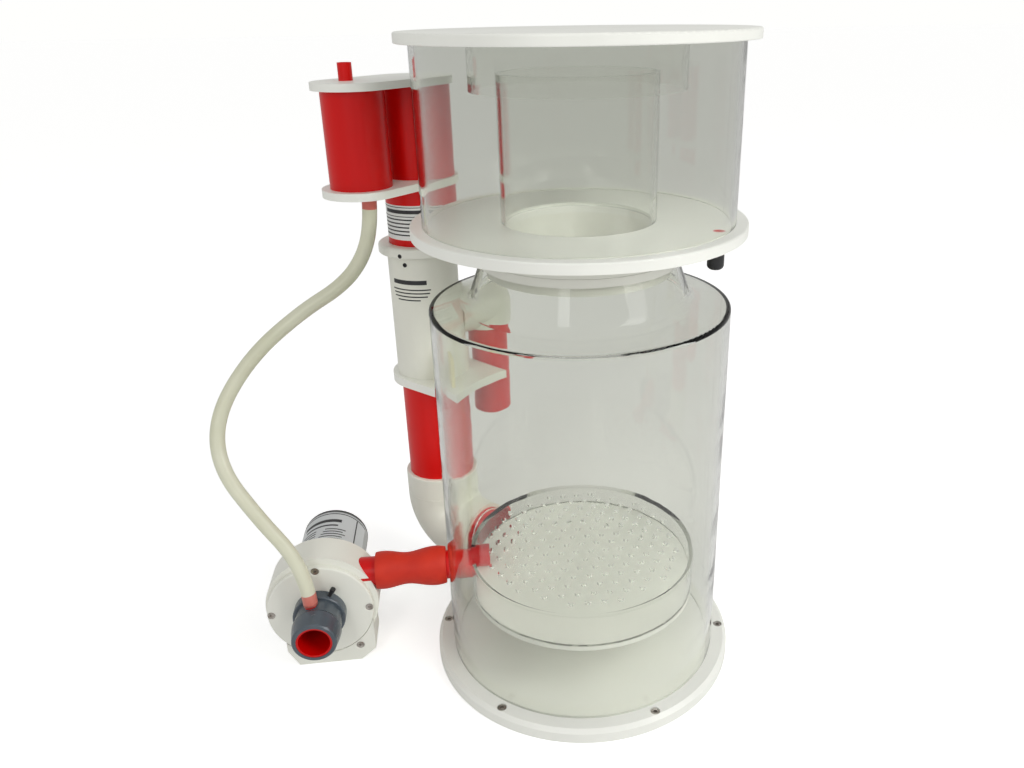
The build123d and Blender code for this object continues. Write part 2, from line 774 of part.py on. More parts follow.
with BuildPart() as pump_housing:
    with BuildSketch(pump_plane(cover_back + glue_gap)):
        with Locations((housing_shift_x, housing_shift_z)):
            Circle(housing_radius)
        pump_foot()
    extrude(amount=cover_back + glue_gap - housing_back)
    with BuildSketch(pump_plane(pump_front)):
        pump_foot()
    extrude(amount=pump_front - cover_back - glue_gap)
    with BuildSketch(pump_plane(pump_front)):
        Circle(cover_radius + glue_gap)
    extrude(amount=pump_front - cover_back - glue_gap, mode=Mode.SUBTRACT)
    with BuildSketch(pump_plane(cover_back + glue_gap)):
        Circle(volute_radius)
    extrude(amount=cover_back + glue_gap - volute_back, mode=Mode.SUBTRACT)
    with BuildSketch(pump_plane(housing_back)):
        Circle(can_radius + glue_gap)
    extrude(amount=30.0, mode=Mode.SUBTRACT)
    with BuildSketch(feed_plane(pump_x + 18.0)):
        Circle(feed_radius - feed_wall)
    extrude(amount=100.0, mode=Mode.SUBTRACT)
    with BuildSketch(feed_plane(feed_stub_start)):
        Circle(feed_radius + glue_gap)
    extrude(amount=100.0, mode=Mode.SUBTRACT)
    with Locations(pump_plane(cover_back + glue_gap)):
        with Locations(*screw_places):
            Hole(pump_screw_shank + glue_gap, depth=pump_screw_length - 6.0)
    with Locations(pump_plane(pump_front)):
        with Locations(foot_screw_place):
            CounterSinkHole(pump_screw_shank + 0.2, pump_screw_head + 0.8, depth=24.0, counter_sink_angle=90)
pump_housing.part.label = "pump_housing"

with BuildPart() as pump_seal:
    with BuildSketch(pump_plane(cover_back - 0.1)):
        Circle(volute_radius + 2.3)
        Circle(volute_radius + 0.2, mode=Mode.SUBTRACT)
    extrude(amount=1.9)
pump_seal.part.label = "pump_seal"

with BuildPart() as pump_screws:
    with BuildSketch(pump_plane(pump_front + 0.6)):
        with Locations(*screw_places):
            Circle(pump_screw_head)
    extrude(amount=-pump_screw_head + pump_screw_shank, taper=45)
    with BuildSketch(pump_plane(pump_front + 0.6 + pump_screw_head - pump_screw_shank)):
        with Locations(*screw_places):
            Circle(pump_screw_shank)
    extrude(amount=-pump_screw_length + 8.0)
    with BuildSketch(pump_plane(pump_front + 0.6)):
        with Locations(*screw_places):
            RegularPolygon(1.7, 6)
    extrude(amount=-1.7, mode=Mode.SUBTRACT)
pump_screws.part.label = "pump_screws"

with BuildPart() as feed_stub:
    with BuildSketch(feed_plane(feed_stub_end)):
        tube_section(feed_radius, feed_wall)
    extrude(amount=feed_stub_start - feed_stub_end)
feed_stub.part.label = "feed_stub"

# ------------------------------------------------------------------ pump: venturi and suction

barb_end = Vector(*hose_route[-1])
barb_lean = (Vector(*hose_route[-2]) - barb_end).normalized()
barb_foot = barb_end - barb_lean * 6.0

with BuildPart() as venturi_body:
    with BuildSketch(Plane((pump_x, 0, pump_z), x_dir=(0, 1, 0), z_dir=(1, 0, 0))):
        with BuildLine():
            Polyline(
                (pump_front - glue_gap, suction_radius + glue_gap),
                (pump_front - glue_gap, venturi_flange_radius),
                (venturi_step + 1.0, venturi_flange_radius),
                (venturi_step, venturi_flange_radius - 1.0),
                (venturi_step, venturi_waist_radius),
                (-38.0, venturi_waist_radius),
                (-41.0, venturi_waist_radius + 1.2),
                (-47.0, venturi_waist_radius + 0.6),
                (venturi_front + 1.5, venturi_mouth_radius + 0.6),
                (venturi_front, venturi_mouth_radius - 0.8),
                (venturi_front, suction_radius + glue_gap),
                close=True,
            )
        make_face()
    revolve(axis=Axis((pump_x, 0, pump_z), (0, 1, 0)))
    with BuildSketch(Plane(barb_foot, z_dir=barb_lean)):
        Circle(barb_radius + 1.0 + glue_gap)
    extrude(amount=20.0, mode=Mode.SUBTRACT)
    with BuildSketch(Plane(barb_foot, z_dir=barb_lean)):
        Circle(barb_radius - 1.9)
    extrude(amount=-12.0, mode=Mode.SUBTRACT)
venturi_body.part.label = "venturi_body"

with BuildPart() as venturi_liner:
    with BuildSketch(pump_plane(venturi_front + 0.8)):
        Circle(suction_radius)
        Circle(liner_bore, mode=Mode.SUBTRACT)
    extrude(amount=venturi_front + 0.8 - pump_front - 0.2)
    with BuildSketch(Plane(barb_foot, z_dir=barb_lean)):
        Circle(barb_radius - 1.9)
    extrude(amount=-12.0, mode=Mode.SUBTRACT)
venturi_liner.part.label = "venturi_liner"

with BuildPart() as air_barb:
    with BuildSketch(Plane(barb_foot, z_dir=barb_lean)):
        Circle(barb_radius + 1.0)
    extrude(amount=6.0)
    with BuildSketch(Plane(barb_end, z_dir=barb_lean)):
        Circle(barb_radius)
    extrude(amount=barb_length)
    with BuildSketch(Plane(barb_foot, z_dir=barb_lean)):
        Circle(barb_radius - 1.9)
    extrude(amount=barb_length + 6.0, mode=Mode.SUBTRACT)
air_barb.part.label = "air_barb"

# A small plugged test nipple leans out of the venturi's flange.
test_angle = radians(62.0)
test_direction = Vector(cos(test_angle), -0.25, sin(test_angle)).normalized()
test_foot = Vector(pump_x + 27.0 * cos(test_angle), -15.5, pump_z + 27.0 * sin(test_angle))
with BuildPart() as test_nipple:
    with BuildSketch(Plane(test_foot, z_dir=test_direction)):
        Circle(2.2)
    extrude(amount=9.0)
    with BuildSketch(Plane(test_foot + test_direction * 9.0, z_dir=test_direction)):
        Circle(2.9)
    extrude(amount=4.0)
    with BuildSketch(pump_plane(0)):
        Circle(venturi_flange_radius + glue_gap)
    extrude(amount=40.0, mode=Mode.SUBTRACT)
test_nipple.part.label = "test_nipple"

# ------------------------------------------------------------------ pump: motor

with BuildPart() as motor_can:
    with BuildSketch(pump_plane(housing_back + glue_gap)):
        tube_section(motor_radius, motor_wall)
    extrude(amount=housing_back - motor_back)
motor_can.part.label = "motor_can"

gland_drop = -18.0
gland_radius = 7.0
cable_bore = 3.6
with BuildPart() as motor_cap:
    with BuildSketch(pump_plane(motor_back - 4.0)):
        Circle(motor_radius - motor_wall - glue_gap)
    extrude(amount=-5.0)
    with BuildSketch(pump_plane(motor_cap_back)):
        Circle(motor_radius)
    extrude(amount=motor_cap_back - motor_back - glue_gap)
    fillet(motor_cap.edges().group_by(Axis.Y)[-1], 2.5)
    with BuildSketch(pump_plane(motor_cap_back)):
        with Locations((0, gland_drop)):
            Circle(gland_radius - 1.0)
    extrude(amount=20.0, mode=Mode.SUBTRACT)
motor_cap.part.label = "motor_cap"

with BuildPart() as cable_gland:
    with BuildSketch(pump_plane(motor_back - 2.0)):
        with Locations((0, gland_drop)):
            Circle(gland_radius - 1.0 - glue_gap)
    extrude(amount=motor_back - 2.0 - motor_cap_back - 1.0)
    with BuildSketch(pump_plane(motor_cap_back + glue_gap)):
        with Locations((0, gland_drop)):
            RegularPolygon(gland_radius + 1.0, 6)
    extrude(amount=-6.0)
    with BuildSketch(pump_plane(motor_cap_back + 6.0)):
        with Locations((0, gland_drop)):
            Circle(gland_radius - 0.5)
    extrude(amount=-7.0, taper=8)
    with BuildSketch(pump_plane(motor_cap_back + 13.0)):
        with Locations((0, gland_drop)):
            Circle(cable_bore)
    extrude(amount=25.0, mode=Mode.SUBTRACT)
cable_gland.part.label = "cable_gland"

with BuildPart() as stator:
    with BuildSketch(pump_plane(housing_back + 8.0)):
        Circle(motor_radius - motor_wall - glue_gap)
        Circle(can_radius + glue_gap, mode=Mode.SUBTRACT)
    extrude(amount=-50.0)
stator.part.label = "stator"

with BuildPart() as rotor_can:
    with BuildSketch(pump_plane(volute_back)):
        Circle(can_radius)
        Circle(can_radius - can_wall, mode=Mode.SUBTRACT)
    extrude(amount=volute_back - can_back)
    with BuildSketch(pump_plane(can_back)):
        Circle(can_radius)
        Circle(shaft_radius + 0.02, mode=Mode.SUBTRACT)
    extrude(amount=-4.0)
    with BuildSketch(pump_plane(can_back + 4.0)):
        Circle(can_radius - 8.0)
    extrude(amount=-2.0)
rotor_can.part.label = "rotor_can"

with BuildPart() as rotor_shaft:
    with BuildSketch(pump_plane(cover_back - 4.0)):
        Circle(shaft_radius)
    extrude(amount=cover_back - 4.0 - can_back - 3.8)
    chamfer(rotor_shaft.edges().filter_by(GeomType.CIRCLE), 0.5)
rotor_shaft.part.label = "rotor_shaft"

rotor_radius = can_radius - can_wall - 0.8
rotor_front = volute_back + 6.0
rotor_back = can_back - 6.0
with BuildPart() as rotor_magnet:
    with BuildSketch(pump_plane(rotor_front)):
        Circle(rotor_radius)
        Circle(5.5, mode=Mode.SUBTRACT)
    extrude(amount=rotor_front - rotor_back)
rotor_magnet.part.label = "rotor_magnet"

bush_length = 9.0
with BuildPart() as rotor_bushes:
    for front in (rotor_front, rotor_back - bush_length):
        with BuildSketch(pump_plane(front)):
            Circle(5.5 - 0.02)
            Circle(shaft_radius + running_gap, mode=Mode.SUBTRACT)
        extrude(amount=-bush_length)
rotor_bushes.part.label = "rotor_bushes"

impeller_radius = 32.0
impeller_front = 8.0
pin_radius = 1.3
pin_length = 11.0
pin_rings = [(14.0, 8), (20.0, 12), (26.0, 16), (30.0, 20)]
with BuildPart() as impeller:
    with BuildSketch(pump_plane(impeller_front)):
        Circle(impeller_radius)
    extrude(amount=-3.0)
    with BuildSketch(pump_plane(impeller_front)):
        for ring_radius, pin_count in pin_rings:
            with PolarLocations(ring_radius, pin_count):
                Circle(pin_radius)
    extrude(amount=pin_length - 3.0)
    with BuildSketch(pump_plane(impeller_front + 3.0)):
        Circle(9.0)
    extrude(amount=impeller_front + 3.0 - rotor_front + 0.05)
    with BuildSketch(pump_plane(impeller_front - 4.0)):
        Circle(7.0)
    extrude(amount=-4.0)
    with BuildSketch(pump_plane(impeller_front - 4.0)):
        Circle(shaft_radius + 0.4)
    extrude(amount=-40.0, mode=Mode.SUBTRACT)
impeller.part.label = "impeller"

# ------------------------------------------------------------------ air hose

hose_points = [Vector(*point) for point in hose_route]
hose_runs = [b - a for a, b in zip(hose_points, hose_points[1:])]
hose_radii = []
for before, after in zip(hose_runs, hose_runs[1:]):
    half_turn = radians(before.get_angle(after)) / 2
    hose_radii.append(0.45 * min(before.length, after.length) / tan(half_turn))

with BuildPart() as air_hose:
    with BuildLine() as hose_path:
        FilletPolyline(*hose_points, radius=hose_radii)
    with BuildSketch(Plane(hose_path.line @ 0, z_dir=hose_path.line % 0)):
        Circle(hose_radius)
        Circle(hose_bore, mode=Mode.SUBTRACT)
    sweep(path=hose_path.line)
air_hose.part.label = "air_hose"

hose_length = sum(edge.length for edge in hose_path.edges())
hose_section = pi * (hose_radius**2 - hose_bore**2)
print("hose bend radii, mm:", [round(radius, 1) for radius in hose_radii])
print("hose length, mm:", round(hose_length, 1))
print("hose volume over section times length:", round(air_hose.part.volume / hose_section / hose_length, 4))

# ------------------------------------------------------------------ export

pieces = [
    base_plate,
    base_flange,
    base_screws,
    body_tube,
    body_dome,
    neck_ring,
    chamber_floor,
    chamber_ring,
    bubble_plate,
    feed_pipe,
    hose_sleeve,
    outlet_elbow,
    outlet_spigot,
    riser_pipe,
    telescope_sleeve,
    telescope_collar,
    guide_plate,
    guide_rib,
    telescope_seals,
    lock_screws,
    spill_elbow,
    down_pipe,
    adjuster_pipe,
    silencer_plate,
    silencer_cap,
    silencer_tube,
    air_tube,
    hose_nipple,
    cup_spigot,
    cup_seal,
    cup_flange,
    cup_tube,
    foam_tube,
    drain_nipple,
    drain_stopper,
    lid_plate,
    lid_ring,
    pump_cover,
    pump_housing,
    pump_seal,
    pump_screws,
    feed_stub,
    venturi_body,
    venturi_liner,
    air_barb,
    test_nipple,
    motor_can,
    motor_cap,
    cable_gland,
    stator,
    rotor_can,
    rotor_shaft,
    rotor_magnet,
    rotor_bushes,
    impeller,
    air_hose,
]
for piece in pieces:
    export_step(piece.part, f"parts/{piece.part.label}.step")
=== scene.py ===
"""Looks of the protein skimmer: materials, the air hose, labels, light and camera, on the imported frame."""

from math import cos, pi, radians, sin

import bmesh
import bpy
from mathutils import Matrix, Vector


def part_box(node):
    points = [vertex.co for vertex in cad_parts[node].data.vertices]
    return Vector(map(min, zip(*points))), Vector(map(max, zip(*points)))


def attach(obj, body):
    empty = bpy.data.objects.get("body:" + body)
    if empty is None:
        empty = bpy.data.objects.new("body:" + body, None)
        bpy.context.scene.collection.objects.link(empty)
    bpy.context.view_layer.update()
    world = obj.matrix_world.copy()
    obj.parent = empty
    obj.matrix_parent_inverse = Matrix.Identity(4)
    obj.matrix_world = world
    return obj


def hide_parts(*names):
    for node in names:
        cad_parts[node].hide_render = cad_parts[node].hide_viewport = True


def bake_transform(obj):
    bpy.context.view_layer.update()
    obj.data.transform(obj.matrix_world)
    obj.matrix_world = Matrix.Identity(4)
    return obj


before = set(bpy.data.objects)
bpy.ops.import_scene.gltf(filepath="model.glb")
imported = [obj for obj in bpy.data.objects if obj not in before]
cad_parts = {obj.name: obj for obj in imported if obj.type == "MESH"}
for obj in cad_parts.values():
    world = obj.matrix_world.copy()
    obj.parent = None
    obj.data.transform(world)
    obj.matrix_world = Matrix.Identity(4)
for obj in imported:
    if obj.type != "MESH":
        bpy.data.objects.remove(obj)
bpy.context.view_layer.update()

# ------------------------------------------------------------------ camera

scene = bpy.context.scene

camera_data = bpy.data.cameras.new("camera")
camera = bpy.data.objects.new("camera", camera_data)
scene.collection.objects.link(camera)
heading = radians(82.91)
pitch = radians(22.463)
roll = radians(-0.842)
forward = Vector((cos(heading) * cos(pitch), sin(heading) * cos(pitch), -sin(pitch)))
level_right = forward.cross(Vector((0, 0, 1))).normalized()
level_up = level_right.cross(forward)
right = level_right * cos(roll) + level_up * sin(roll)
up = level_up * cos(roll) - level_right * sin(roll)
camera_place = (-0.11316, -0.80519, 0.68213)
camera.matrix_world = Matrix.Translation(camera_place) @ Matrix(
    ((right.x, up.x, -forward.x), (right.y, up.y, -forward.y), (right.z, up.z, -forward.z))
).to_4x4()
camera_data.lens = 29.93
camera_data.sensor_width = 36.0
camera_data.shift_x = -0.0541
camera_data.shift_y = -0.0213
camera_data.clip_start = 0.01
scene.camera = camera


# ------------------------------------------------------------------ materials


def new_material(name, color, roughness, **sockets):
    """A Principled material, its constant values on its own sockets."""
    material = bpy.data.materials.new(name)
    material.use_nodes = True
    shader = principled(material)
    shader.inputs["Base Color"].default_value = (*color, 1.0)
    shader.inputs["Roughness"].default_value = roughness
    for socket, value in sockets.items():
        shader.inputs[socket.replace("_", " ")].default_value = value
    return material


def principled(material):
    return material.node_tree.nodes["Principled BSDF"]


def surface(material):
    return material.node_tree.nodes["Material Output"].inputs["Surface"]


def node(material, kind, **values):
    """A new node, with input values by socket name and settings by attribute name."""
    made = material.node_tree.nodes.new(kind)
    for key, value in values.items():
        if key in made.inputs:
            made.inputs[key].default_value = value
        else:
            setattr(made, key, value)
    return made


def link(material, out, into):
    material.node_tree.links.new(out, into)


def noise(material, scale, detail=4.0, stretch=(1.0, 1.0, 1.0)):
    """Noise in object space, stretched along the axes."""
    place = node(material, "ShaderNodeTexCoord")
    mapping = node(material, "ShaderNodeMapping", Scale=stretch)
    texture = node(material, "ShaderNodeTexNoise", Scale=scale, Detail=detail)
    link(material, place.outputs["Object"], mapping.inputs["Vector"])
    link(material, mapping.outputs["Vector"], texture.inputs["Vector"])
    return texture.outputs["Fac"]


def vary_color(material, source, dark, light, low=0.3, high=0.7):
    """Base colour from dark, where source is low, to light."""
    ramp = node(material, "ShaderNodeValToRGB")
    ramp.color_ramp.elements[0].position = low
    ramp.color_ramp.elements[0].color = (*dark, 1.0)
    ramp.color_ramp.elements[1].position = high
    ramp.color_ramp.elements[1].color = (*light, 1.0)
    link(material, source, ramp.inputs["Fac"])
    link(material, ramp.outputs["Color"], principled(material).inputs["Base Color"])


def vary_roughness(material, source, low, high):
    """Roughness from low to high as source goes from 0 to 1."""
    span = node(material, "ShaderNodeMapRange")
    span.inputs["To Min"].default_value = low
    span.inputs["To Max"].default_value = high
    link(material, source, span.inputs["Value"])
    link(material, span.outputs["Result"], principled(material).inputs["Roughness"])


def add_bump(material, source, strength, distance):
    """Fine relief from source; distance is its depth in metres."""
    bump = node(material, "ShaderNodeBump", Strength=strength, Distance=distance)
    link(material, source, bump.inputs["Height"])
    link(material, bump.outputs["Normal"], principled(material).inputs["Normal"])


def white_pvc(name, color, stretch=(1.0, 1.0, 1.0)):
    """Machined or extruded PVC: off-white, softly shiny, with faint handling marks and tool lines."""
    material = new_material(name, color, 0.36, IOR=1.5)
    dark = tuple(c * 0.93 for c in color)
    vary_color(material, noise(material, 9.0, 6.0), dark, color, 0.25, 0.6)
    vary_roughness(material, noise(material, 60.0, 4.0), 0.28, 0.46)
    add_bump(material, noise(material, 700.0, 3.0, stretch), 0.06, 0.0006)
    return material


def red_pvc(name, stretch):
    """Extruded red pipe with faint lines along it."""
    color = (0.60, 0.001, 0.001)
    material = new_material(name, color, 0.3, IOR=1.5, Specular_IOR_Level=0.3)
    vary_color(material, noise(material, 14.0, 5.0, stretch), (0.54, 0.0, 0.0), (0.66, 0.002, 0.001))
    vary_roughness(material, noise(material, 90.0, 3.0, stretch), 0.24, 0.38)
    add_bump(material, noise(material, 420.0, 2.0, stretch), 0.08, 0.0005)
    return material


dusty_rough = 0.05
weld_reach = 0.0004
level_enough = 0.99


def acrylic(name, color, weld, ior=1.49, waves=0.0):
    """Clear cast acrylic with fine dust on its faces; lamps reach what is inside it.

    weld is the height of a level face that is welded to another clear piece, where light isn't bent."""
    material = new_material(name, color, 0.015, IOR=ior, Transmission_Weight=1.0)
    vary_roughness(material, noise(material, 25.0, 8.0), 0.0, dusty_rough)
    if waves:
        add_bump(material, noise(material, 7.0, 2.0, (1.0, 1.0, 2.5)), waves, 0.004)
    path = node(material, "ShaderNodeLightPath")
    through = node(material, "ShaderNodeBsdfTransparent", Color=(0.97, 0.975, 0.965, 1.0))
    mix = node(material, "ShaderNodeMixShader")
    place = node(material, "ShaderNodeTexCoord")
    height = node(material, "ShaderNodeSeparateXYZ")
    shape = node(material, "ShaderNodeNewGeometry")
    facing = node(material, "ShaderNodeSeparateXYZ")
    at_weld = node(material, "ShaderNodeMath", operation="COMPARE")
    at_weld.inputs[1].default_value = weld
    at_weld.inputs[2].default_value = weld_reach
    steepness = node(material, "ShaderNodeMath", operation="ABSOLUTE")
    level = node(material, "ShaderNodeMath", operation="GREATER_THAN")
    level.inputs[1].default_value = level_enough
    welded = node(material, "ShaderNodeMath", operation="MULTIPLY")
    either = node(material, "ShaderNodeMath", operation="MAXIMUM")
    link(material, place.outputs["Object"], height.inputs["Vector"])
    link(material, height.outputs["Z"], at_weld.inputs[0])
    link(material, shape.outputs["True Normal"], facing.inputs["Vector"])
    link(material, facing.outputs["Z"], steepness.inputs[0])
    link(material, steepness.outputs["Value"], level.inputs[0])
    link(material, at_weld.outputs["Value"], welded.inputs[0])
    link(material, level.outputs["Value"], welded.inputs[1])
    link(material, path.outputs["Is Shadow Ray"], either.inputs[0])
    link(material, welded.outputs["Value"], either.inputs[1])
    link(material, either.outputs["Value"], mix.inputs["Fac"])
    link(material, principled(material).outputs["BSDF"], mix.inputs[1])
    link(material, through.outputs["BSDF"], mix.inputs[2])
    link(material, mix.outputs["Shader"], surface(material))
    return material


pvc_sheet = white_pvc("white_sheet", (0.84, 0.845, 0.79))
pvc_machined = white_pvc("white_machined", (0.80, 0.80, 0.73), (1.0, 0.2, 1.0))
pvc_pipe = white_pvc("white_pipe", (0.77, 0.77, 0.69), (1.0, 1.0, 0.05))
pvc_cream = white_pvc("cream_strip", (0.78, 0.72, 0.42))
red_upright = red_pvc("red_pipe_upright", (1.0, 1.0, 0.04))
red_level = red_pvc("red_pipe_level", (0.04, 1.0, 1.0))
shoulder_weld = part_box("body_dome")[0].z
plate_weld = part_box("bubble_plate")[0].z
clear = acrylic("clear_tube", (0.90, 0.91, 0.87), shoulder_weld, waves=0.15)
clear_shoulder = acrylic("clear_shoulder", (0.92, 0.93, 0.89), shoulder_weld, ior=1.22)
clear_inner = acrylic("clear_inner", (0.95, 0.955, 0.94), plate_weld)
clear_plate = acrylic("clear_plate", (0.985, 0.985, 0.975), plate_weld, ior=1.25)

silicone = new_material("red_silicone", (0.60, 0.022, 0.004), 0.55, IOR=1.42)
vary_color(silicone, noise(silicone, 30.0, 5.0), (0.50, 0.015, 0.004), (0.62, 0.026, 0.006))
add_bump(silicone, noise(silicone, 900.0, 3.0), 0.15, 0.0006)

venturi_grey = new_material("grey_pvc", (0.07, 0.088, 0.11), 0.22, IOR=1.52)
vary_color(venturi_grey, noise(venturi_grey, 20.0, 5.0), (0.055, 0.07, 0.088), (0.085, 0.105, 0.125))
vary_roughness(venturi_grey, noise(venturi_grey, 120.0, 3.0), 0.16, 0.32)
add_bump(venturi_grey, noise(venturi_grey, 500.0, 2.0, (1.0, 0.1, 1.0)), 0.06, 0.0005)


def milky(name, dark, light):
    """Soft translucent tube."""
    material = new_material(name, light, 0.28, IOR=1.4, Transmission_Weight=0.25)
    vary_color(material, noise(material, 18.0, 4.0), dark, light)
    add_bump(material, noise(material, 300.0, 3.0), 0.06, 0.0006)
    return material


hose_material = milky("milky_hose", (0.78, 0.78, 0.60), (0.88, 0.88, 0.72))
hose_on_barb = milky("milky_hose_on_barb", (0.72, 0.16, 0.13), (0.80, 0.28, 0.22))

black_rubber = new_material("black_rubber", (0.012, 0.012, 0.013), 0.42, IOR=1.5)
add_bump(black_rubber, noise(black_rubber, 600.0, 3.0), 0.12, 0.0006)
vary_roughness(black_rubber, noise(black_rubber, 80.0, 4.0), 0.34, 0.55)

black_plastic = new_material("black_plastic", (0.02, 0.02, 0.021), 0.38, IOR=1.5)
add_bump(black_plastic, noise(black_plastic, 900.0, 3.0), 0.12, 0.0004)
vary_roughness(black_plastic, noise(black_plastic, 70.0, 4.0), 0.32, 0.5)

steel = new_material("steel", (0.45, 0.42, 0.39), 0.32, Metallic=1.0)
vary_color(steel, noise(steel, 260.0, 4.0), (0.26, 0.23, 0.20), (0.55, 0.52, 0.49))
vary_roughness(steel, noise(steel, 500.0, 3.0), 0.22, 0.5)

motor_grey = new_material("motor_grey", (0.42, 0.43, 0.43), 0.33, IOR=1.5)
vary_color(motor_grey, noise(motor_grey, 40.0, 4.0), (0.36, 0.37, 0.37), (0.46, 0.47, 0.47))
add_bump(motor_grey, noise(motor_grey, 500.0, 3.0), 0.08, 0.0005)

potting = new_material("potting", (0.05, 0.045, 0.04), 0.5)
add_bump(potting, noise(potting, 150.0, 4.0), 0.3, 0.001)
ceramic = new_material("ceramic", (0.78, 0.74, 0.66), 0.3)
vary_roughness(ceramic, noise(ceramic, 200.0, 3.0), 0.2, 0.4)
magnet = new_material("magnet", (0.09, 0.09, 0.1), 0.45, Metallic=0.3)
add_bump(magnet, noise(magnet, 500.0, 4.0), 0.25, 0.0005)

label_paper = new_material("label_paper", (0.80, 0.81, 0.79), 0.4, IOR=1.5)
vary_color(label_paper, noise(label_paper, 50.0, 4.0), (0.74, 0.75, 0.73), (0.83, 0.84, 0.82))
label_foil = new_material("label_foil", (0.62, 0.64, 0.65), 0.3, Metallic=0.35)
vary_roughness(label_foil, noise(label_foil, 60.0, 4.0), 0.22, 0.42)
label_ink = new_material("label_ink", (0.02, 0.02, 0.022), 0.5)
vary_roughness(label_ink, noise(label_ink, 200.0, 2.0), 0.4, 0.6)

looks = {
    pvc_sheet: "base_plate base_flange cup_flange lid_plate silencer_plate silencer_cap guide_plate chamber_floor",
    pvc_machined: "neck_ring cup_spigot pump_cover pump_housing telescope_collar rotor_can",
    pvc_pipe: "outlet_elbow telescope_sleeve spill_elbow",
    pvc_cream: "guide_rib",
    red_upright: "riser_pipe adjuster_pipe silencer_tube air_tube hose_nipple down_pipe drain_nipple air_barb",
    red_level: "feed_pipe feed_stub outlet_spigot venturi_liner",
    clear: "body_tube cup_tube",
    clear_shoulder: "body_dome",
    clear_inner: "foam_tube lid_ring",
    clear_plate: "chamber_ring bubble_plate",
    silicone: "hose_sleeve",
    venturi_grey: "venturi_body",
    black_rubber: "drain_stopper cup_seal telescope_seals pump_seal",
    black_plastic: "test_nipple lock_screws motor_cap cable_gland impeller",
    steel: "base_screws pump_screws",
    motor_grey: "motor_can",
    potting: "stator",
    ceramic: "rotor_shaft rotor_bushes",
    magnet: "rotor_magnet",
}
for material, names in looks.items():
    for name in names.split():
        for part_slot in bpy.data.objects[name].material_slots:
            part_slot.material = material


# ------------------------------------------------------------------ helpers for new pieces


def add_mesh(name, vertices, faces, material, body, smooth=True):
    mesh = bpy.data.meshes.new(name)
    mesh.from_pydata(vertices, [], faces)
    mesh.validate()
    mesh.update()
    build = bmesh.new()
    build.from_mesh(mesh)
    bmesh.ops.recalc_face_normals(build, faces=build.faces)
    build.to_mesh(mesh)
    build.free()
    if smooth:
        mesh.shade_smooth()
    piece = bpy.data.objects.new(name, mesh)
    scene.collection.objects.link(piece)
    mesh.materials.append(material)
    if body:
        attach(piece, body)
    return piece


def wrap(name, axis, radius, along, angles, thickness, material, body, steps=32):
    """Thin closed shell wrapped round an axis: a sticker, or a printed bar on one.

    axis is ("z" or "y", first centre coordinate, second one); angles are degrees from +X, towards +Y or +Z."""
    direction, first, second = axis
    low, high = along
    vertices = []
    for step in range(steps + 1):
        turn = radians(angles[0] + (angles[1] - angles[0]) * step / steps)
        for r, end in ((radius, low), (radius, high), (radius + thickness, high), (radius + thickness, low)):
            a, b = first + r * cos(turn), second + r * sin(turn)
            vertices.append((a, b, end) if direction == "z" else (a, end, b))
    faces = []
    for step in range(steps):
        here, there = 4 * step, 4 * step + 4
        for side in range(4):
            faces.append((here + side, here + (side + 1) % 4, there + (side + 1) % 4, there + side))
    faces += [(0, 1, 2, 3), tuple(4 * steps + k for k in (3, 2, 1, 0))]
    return add_mesh(name, vertices, faces, material, body, smooth=False)


# ------------------------------------------------------------------ air hose

hose_route = [
    (-0.2055, 0.0900, 0.5093),
    (-0.2055, 0.0900, 0.4850),
    (-0.2150, 0.0860, 0.4480),
    (-0.2390, 0.0790, 0.4180),
    (-0.2860, 0.0690, 0.3930),
    (-0.3390, 0.0520, 0.3530),
    (-0.3770, 0.0300, 0.2990),
    (-0.3770, 0.0080, 0.2490),
    (-0.3410, -0.0110, 0.1960),
    (-0.3100, -0.0240, 0.1580),
    (-0.2990, -0.0290, 0.1200),
    (-0.2980, -0.0300, 0.0970),
]
hose_radius = 0.0077
hose_bore = 0.0056

route_curve = bpy.data.curves.new("hose_route", "CURVE")
route_curve.dimensions = "3D"
route_curve.resolution_u = 12
route_spline = route_curve.splines.new("NURBS")
route_spline.points.add(len(hose_route) - 1)
for point, place in zip(route_spline.points, hose_route):
    point.co = (*place, 1.0)
route_spline.order_u = 3
route_spline.use_endpoint_u = True
route_object = bpy.data.objects.new("hose_route", route_curve)
route_mesh = bpy.data.meshes.new_from_object(route_object)
hose_line = [vertex.co.copy() for vertex in route_mesh.vertices]
bpy.data.objects.remove(route_object)


def hollow_tube(name, line, outer, inner, material, body, sides=40):
    """A tube with a bore that follows a line of points, its rings carried along without twist."""
    rings = []
    side = None
    for i, point in enumerate(line):
        ahead = (line[min(i + 1, len(line) - 1)] - line[max(i - 1, 0)]).normalized()
        side = ahead.orthogonal() if side is None else side
        side = (side - ahead * side.dot(ahead)).normalized()
        other = ahead.cross(side)
        for radius in (outer, inner):
            for k in range(sides):
                turn = 2 * pi * k / sides
                rings.append(point + side * radius * cos(turn) + other * radius * sin(turn))
    faces = []
    for i in range(len(line) - 1):
        for start in (0, sides):
            here, there = 2 * sides * i + start, 2 * sides * (i + 1) + start
            for k in range(sides):
                faces.append((here + k, here + (k + 1) % sides, there + (k + 1) % sides, there + k))
    for i in (0, len(line) - 1):
        here = 2 * sides * i
        for k in range(sides):
            faces.append((here + k, here + (k + 1) % sides, here + sides + (k + 1) % sides, here + sides + k))
    return add_mesh(name, [tuple(v) for v in rings], faces, material, body)


hose = hollow_tube("hose_milky", hose_line, hose_radius, hose_bore, hose_material, None)
hose.data.materials.append(hose_on_barb)
barb_length = 0.015
for face in hose.data.polygons:
    if min((face.center - hose_line[0]).length, (face.center - hose_line[-1]).length) < barb_length:
        face.material_index = 1
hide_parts("air_hose")
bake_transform(hose)

# ------------------------------------------------------------------ labels: plain, with bars in place of print

sticker = 0.0002
ink = 0.0001


